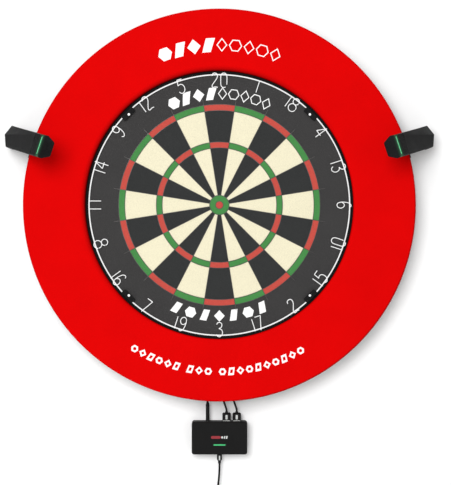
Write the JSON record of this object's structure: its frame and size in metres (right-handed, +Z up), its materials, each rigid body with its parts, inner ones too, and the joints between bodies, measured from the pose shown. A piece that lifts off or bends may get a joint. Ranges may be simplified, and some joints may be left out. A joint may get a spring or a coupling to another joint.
{
  "type": "automatic scoring dartboard",
  "caption": "Bristle dartboard with number ring in a round foam surround on a wall frame, with pull-off camera arms that watch the face and a wall box they plug into.",
  "frame": {"origin": "where the bull's axis meets the wall, at the centre of the wall plate's back face", "axes": "+Z up, the wall is the plane Y = 0 and the player stands at -Y; +X is to the player's right"},
  "size_m": [0.7296, 0.1548, 0.9118],
  "materials": {
    "sisal_black": "dyed sisal, end grain",
    "sisal_cream": "dyed sisal, end grain",
    "sisal_red": "dyed sisal, end grain",
    "sisal_green": "dyed sisal, end grain",
    "sisal_undyed": "pressed plant fibre",
    "particle_board": "pressed board",
    "rim_steel": "dark coated band",
    "blade_steel": "thin galvanised blade",
    "white_wire": "white enamelled wire",
    "clip_black": "moulded",
    "pin_white": "moulded",
    "foam_red": "smooth closed-cell foam",
    "plate_black": "powder coat",
    "zinc_steel": "zinc plated",
    "pad_rubber": "moulded",
    "socket_black": "moulded",
    "hook_and_loop": "woven pad",
    "arm_matte": "fine texture",
    "arm_gloss": "piano black",
    "light_green": "glowing light pipe",
    "dark_window": "smoked",
    "lens_black": "turned barrel",
    "circuit_green": "solder mask",
    "screw_black": "black oxide",
    "box_black": "fine texture",
    "port_metal": "nickel plated",
    "box_light": "glowing light pipe",
    "tape_grey": "foam tape",
    "grip_black": "moulded",
    "lead_black": "extruded sleeve"
  },
  "bodies": {
    "wall_frame": {"wall_plate": "plate_black", "hanger_bracket": "zinc_steel", "frame_screws": "zinc_steel", "support_pads": "pad_rubber", "arm_socket_left": "socket_black", "arm_socket_right": "socket_black", "surround_pads": "hook_and_loop", "surround": "foam_red", "cable_comb": "socket_black", "usb_lead_left": "lead_black", "usb_lead_right": "lead_black", "dc_lead": "lead_black", "box_front_shell": "box_black", "box_back_shell": "box_black", "box_screws": "screw_black", "box_circuit_board": "circuit_green", "box_sockets": "port_metal", "box_light_pipe": "box_light", "box_tape": "tape_grey"},
    "board": {"board_backing": "particle_board", "board_band": "rim_steel", "sisal_core": "sisal_undyed", "face_black_sectors": "sisal_black", "face_cream_sectors": "sisal_cream", "face_red_beds": "sisal_red", "face_green_beds": "sisal_green", "face_outer_band": "sisal_black", "spider": "blade_steel", "centre_bolt": "zinc_steel", "centre_spacer": "grip_black"},
    "number_ring": {"number_ring": "white_wire", "ring_clips": "clip_black", "clip_pins": "pin_white"},
    "camera_arm_left": {"arm_cover_left": "arm_matte", "arm_back_shell_left": "arm_matte", "arm_head_cap_left": "arm_gloss", "arm_light_left": "light_green", "arm_window_left": "dark_window", "arm_lens_left": "lens_black", "arm_camera_board_left": "circuit_green", "arm_screws_left": "screw_black"},
    "camera_arm_right": {"arm_cover_right": "arm_matte", "arm_back_shell_right": "arm_matte", "arm_head_cap_right": "arm_gloss", "arm_light_right": "light_green", "arm_window_right": "dark_window", "arm_lens_right": "lens_black", "arm_camera_board_right": "circuit_green", "arm_screws_right": "screw_black"},
    "usb_plug_left": {"usb_plug_left_grip": "grip_black", "usb_plug_left_shell": "port_metal"},
    "usb_plug_right": {"usb_plug_right_grip": "grip_black", "usb_plug_right_shell": "port_metal"},
    "dc_plug": {"dc_plug_grip": "grip_black", "dc_plug_barrel": "port_metal"},
    "power_plug": {"power_plug_grip": "grip_black", "power_plug_shell": "port_metal", "power_lead": "lead_black", "supply_plug_grip": "grip_black", "supply_plug_shell": "port_metal"}
  },
  "joints": [
    {"name": "board_turn", "type": "hinge", "parent": "wall_frame", "child": "board", "pos_m": [0, 0, 0], "axis": [0, 1, 0], "continuous": true},
    {"name": "number_ring_lift", "type": "slide", "parent": "board", "child": "number_ring", "axis": [0, -1, 0], "range_m": [0, 0.025]},
    {"name": "camera_arm_left_slide", "type": "slide", "parent": "wall_frame", "child": "camera_arm_left", "axis": [-0.9511, 0, 0.309], "range_m": [0, 0.045]},
    {"name": "camera_arm_right_slide", "type": "slide", "parent": "wall_frame", "child": "camera_arm_right", "axis": [0.9511, 0, 0.309], "range_m": [0, 0.045]},
    {"name": "usb_plug_left_pull", "type": "slide", "parent": "wall_frame", "child": "usb_plug_left", "axis": [0, 0, 1], "range_m": [0, 0.012], "deforming": ["usb_lead_left"]},
    {"name": "usb_plug_right_pull", "type": "slide", "parent": "wall_frame", "child": "usb_plug_right", "axis": [0, 0, 1], "range_m": [0, 0.012], "deforming": ["usb_lead_right"]},
    {"name": "dc_plug_pull", "type": "slide", "parent": "wall_frame", "child": "dc_plug", "axis": [0, 0, 1], "range_m": [0, 0.012], "deforming": ["dc_lead"]},
    {"name": "power_plug_pull", "type": "slide", "parent": "wall_frame", "child": "power_plug", "axis": [0, 0, -1], "range_m": [0, 0.008]}
  ]
}
